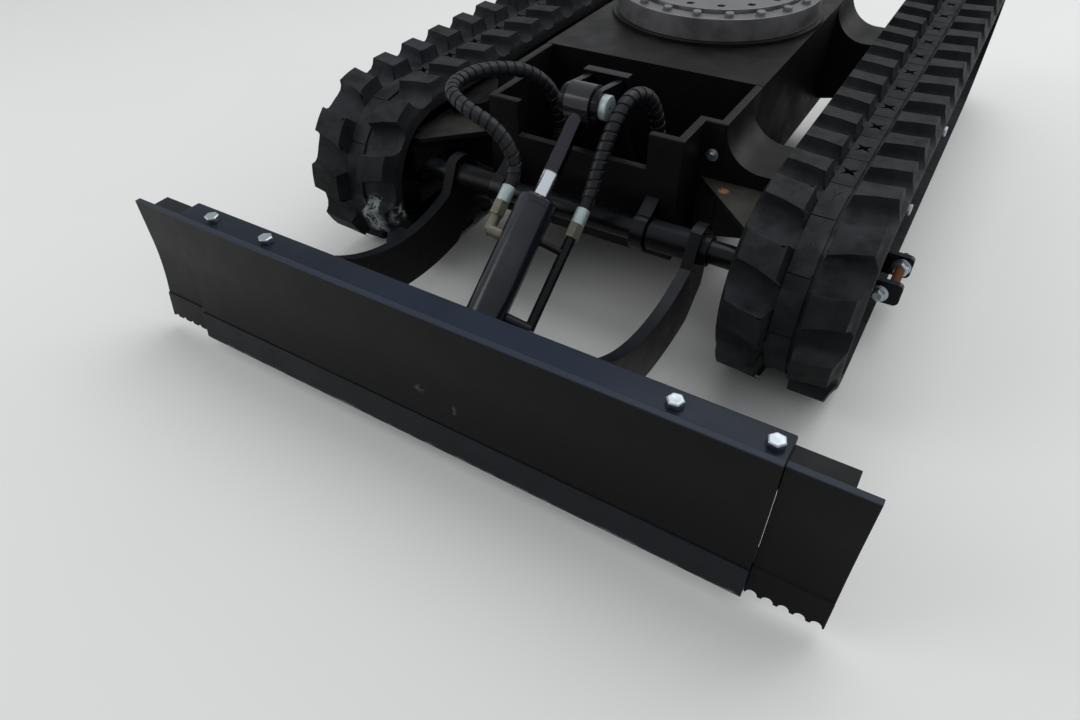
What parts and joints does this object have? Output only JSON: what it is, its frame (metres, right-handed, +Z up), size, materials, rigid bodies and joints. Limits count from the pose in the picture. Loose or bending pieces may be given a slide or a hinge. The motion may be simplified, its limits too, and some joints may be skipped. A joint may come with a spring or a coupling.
{
  "type": "crawler undercarriage with dozer blade",
  "caption": "Crawler undercarriage of a small excavator: rubber tracks, slew ring and a dozer blade that a hydraulic cylinder lifts.",
  "frame": {"origin": "on the ground, under the middle of the whole part", "axes": "+X to the machine's left side, +Y to the rear, +Z up; the blade faces -Y"},
  "size_m": [1, 1.4835, 0.346],
  "materials": {
    "black_paint": "gloss black",
    "brass": "dull",
    "chrome": "polished",
    "edge_steel": "worn satin black",
    "hose": "satin",
    "rubber": "matt, dusty",
    "steel": "machined",
    "zinc": "zinc plated"
  },
  "bodies": {
    "undercarriage": {"carbody": "black_paint", "cylinder_rod_bracket": "black_paint", "frame_lugs_left": "black_paint", "frame_lugs_right": "black_paint", "gussets": "black_paint", "hose_ports": "black_paint", "idler_left": "black_paint", "idler_right": "black_paint", "idler_yoke_left": "black_paint", "idler_yoke_right": "black_paint", "legs": "black_paint", "nose_box": "black_paint", "pivot_ears": "black_paint", "pivot_shaft": "black_paint", "rod_tower": "black_paint", "rollers_left": "black_paint", "rollers_right": "black_paint", "slew_ring_outer": "steel", "sprocket_left": "steel", "sprocket_right": "steel", "swivel_joint": "zinc", "top_slide_left": "black_paint", "top_slide_right": "black_paint", "track_frame_left": "black_paint", "track_frame_right": "black_paint", "track_left": "rubber", "track_right": "rubber", "travel_motor_left": "black_paint", "travel_motor_right": "black_paint"},
    "blade": {"blade_arm_left": "black_paint", "blade_arm_right": "black_paint", "blade_ribs": "black_paint", "blade_top_box": "black_paint", "cutting_edge": "edge_steel", "cylinder_base_bracket": "black_paint", "mouldboard": "black_paint", "wing_left": "black_paint", "wing_right": "black_paint"},
    "cylinder": {"cylinder_barrel": "black_paint", "cylinder_gland": "black_paint", "feed_pipe": "black_paint", "ferrules": "zinc", "hose_fittings": "brass", "hose_left": "hose", "hose_right": "hose"},
    "rod": {"cylinder_rod": "chrome"},
    "turntable": {"turntable": "steel"}
  },
  "joints": [
    {"name": "blade_lift", "type": "hinge", "parent": "undercarriage", "child": "blade", "pos_m": [0, -0.3798, 0.172], "axis": [-1, 0, 0], "range_deg": [-20, 25]},
    {"name": "cylinder_swing", "type": "hinge", "parent": "blade", "child": "cylinder", "pos_m": [0, -0.6678, 0.082], "axis": [-1, 0, 0], "range_deg": [-8, 7]},
    {"name": "rod_slide", "type": "slide", "parent": "cylinder", "child": "rod", "axis": [0, 0.8107, 0.5855], "range_m": [-0.044, 0.035]},
    {"name": "slew", "type": "hinge", "parent": "undercarriage", "child": "turntable", "pos_m": [0, 0.1302, 0.306], "axis": [0, 0, 1], "continuous": true}
  ],
  "couplings": [
    {"joint": "cylinder_swing", "follows": "blade_lift", "ratio": -0.2786},
    {"joint": "rod_slide", "follows": "blade_lift", "m_per_rad": -0.09851}
  ]
}
